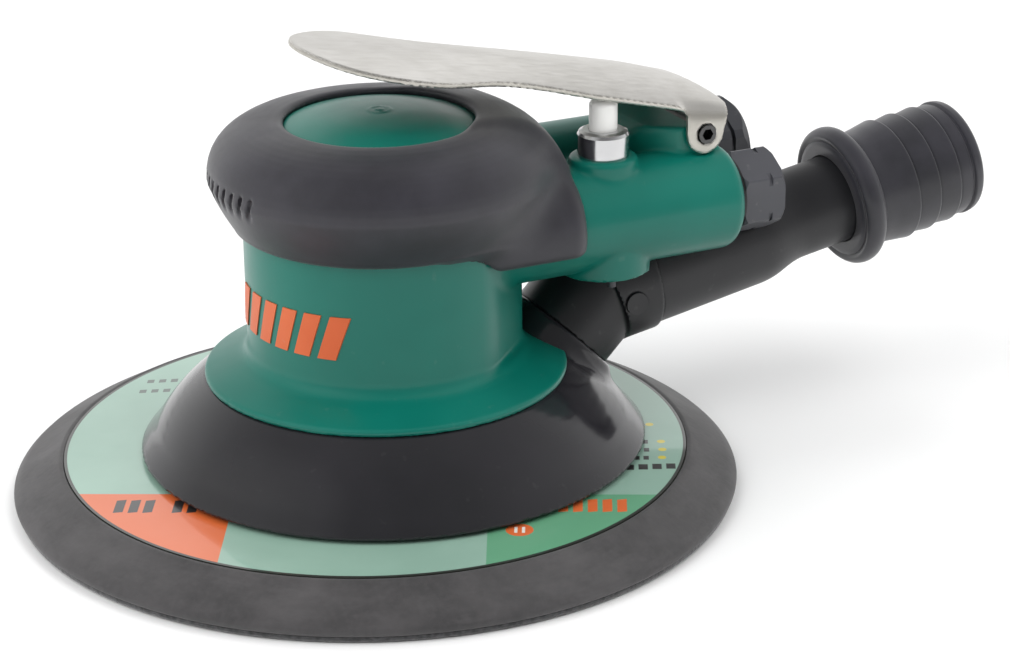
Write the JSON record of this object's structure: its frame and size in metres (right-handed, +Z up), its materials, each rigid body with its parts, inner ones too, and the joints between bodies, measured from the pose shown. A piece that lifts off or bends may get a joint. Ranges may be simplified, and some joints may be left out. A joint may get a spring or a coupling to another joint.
{
  "type": "random orbital sander",
  "caption": "Palm-held air-driven random orbital sander with a round pad, throttle lever, side-by-side inlet and muffler tubes, and a swivelling vacuum hose fitting.",
  "frame": {"origin": "centre of the motor axis on the pad's working face (the face that takes the disc)", "axes": "+Z up along the motor axis, away from the work; +X rearward along the tubes towards the hose; -Y on the air inlet side"},
  "size_m": [0.2179, 0.15, 0.0952],
  "materials": {
    "housing": "satin teal-green moulding",
    "grip_rubber": "matt soft rubber",
    "shroud_plastic": "gloss black",
    "badge_print": "orange print",
    "alloy": "machined",
    "steel": "machined",
    "bearing_steel": "ground",
    "felt": "needled felt",
    "bright_metal": "bright turned",
    "brass": "turned",
    "spring_steel": "bright",
    "dark_metal": "dark grey coated",
    "seal_rubber": "matt",
    "cap_plastic": "matt dark grey",
    "black_plastic": "matt black",
    "black_steel": "black oxide",
    "vane_fibre": "phenolic fibre",
    "pad_plate": "glass-fibre laminate",
    "pad_rubber": "mottled matt foam rubber",
    "hook_nylon": "hook pile",
    "label_print": "pale green printed label",
    "lever_steel": "satin",
    "white_plastic": "white acetal",
    "hose_rubber": "matt dark rubber"
  },
  "bodies": {
    "housing": {"housing": "housing", "body_badge": "badge_print", "cylinder_dowel_pin": "steel", "cylinder_liner": "steel", "dust_seal": "felt", "elbow_screw": "black_plastic", "exhaust_elbow": "black_plastic", "front_bearing_outer": "bearing_steel", "front_end_plate": "alloy", "grip_sleeve": "grip_rubber", "hose_tube": "black_plastic", "inlet_bushing": "dark_metal", "inlet_o_ring": "seal_rubber", "inlet_screen": "spring_steel", "lever_pin": "black_steel", "motor_lock_ring": "alloy", "muffler_cap": "cap_plastic", "muffler_felt": "felt", "rear_bearing_outer": "bearing_steel", "rear_end_plate": "alloy", "regulator_snap_ring": "spring_steel", "seal_plate": "alloy", "shroud": "shroud_plastic", "valve_bushing": "bright_metal", "valve_seat": "brass", "valve_spring": "spring_steel"},
    "motor": {"rotor": "alloy", "rotor_vanes": "vane_fibre", "rotor_key": "steel", "shaft_balancer": "steel", "shaft_snap_ring": "spring_steel", "front_bearing_inner": "bearing_steel", "front_bearing_balls": "bearing_steel", "rear_bearing_inner": "bearing_steel", "rear_bearing_balls": "bearing_steel", "spindle_bearing_outer": "bearing_steel", "spindle_snap_ring": "spring_steel"},
    "pad": {"spindle": "steel", "spindle_bearing_inner": "bearing_steel", "spindle_bearing_balls": "bearing_steel", "spindle_screw": "steel", "pad_hub": "steel", "pad_rivets": "alloy", "pad_washer": "steel", "pad_backing_plate": "pad_plate", "pad_foam": "pad_rubber", "pad_hook_face": "hook_nylon", "pad_label": "label_print"},
    "lever": {"throttle_lever": "lever_steel"},
    "plunger": {"valve_plunger": "white_plastic", "plunger_o_ring": "seal_rubber"},
    "tip_valve": {"tip_valve": "brass"},
    "regulator": {"regulator_barrel": "brass", "regulator_handle": "dark_metal"},
    "hose_end": {"hose_adapter": "hose_rubber", "hose_collar": "hose_rubber", "hose_snap_ring": "spring_steel"}
  },
  "joints": [
    {"name": "motor_spin", "type": "hinge", "parent": "housing", "child": "motor", "pos_m": [0, 0, 0.04], "axis": [0, 0, 1], "continuous": true},
    {"name": "pad_spin", "type": "hinge", "parent": "motor", "child": "pad", "pos_m": [-0.0023, 0.00098, 0.01], "axis": [0, 0, 1], "continuous": true},
    {"name": "lever_press", "type": "hinge", "parent": "housing", "child": "lever", "pos_m": [0.0652, 0, 0.07], "axis": [0, -1, 0], "range_deg": [0, 7], "stiffness_Nm_per_rad": 2, "springref_deg": -8.59},
    {"name": "plunger_press", "type": "slide", "parent": "housing", "child": "plunger", "axis": [0, 0, -1], "range_m": [0, 0.0028]},
    {"name": "tip_valve_tilt", "type": "hinge", "parent": "housing", "child": "tip_valve", "pos_m": [0.055, -0.01325, 0.0605], "axis": [0, -1, 0], "range_deg": [0, 14.2], "deforming": ["valve_spring"]},
    {"name": "regulator_turn", "type": "hinge", "parent": "housing", "child": "regulator", "pos_m": [0.0433, -0.01325, 0.045], "axis": [0, 0, -1], "range_deg": [0, 90]},
    {"name": "hose_swivel", "type": "hinge", "parent": "housing", "child": "hose_end", "pos_m": [0.115, 0, 0.0458], "axis": [0.9853, 0, 0.1711], "continuous": true}
  ],
  "couplings": [
    {"joint": "plunger_press", "follows": "lever_press", "m_per_rad": 0.02206},
    {"joint": "tip_valve_tilt", "follows": "lever_press", "ratio": 2}
  ]
}
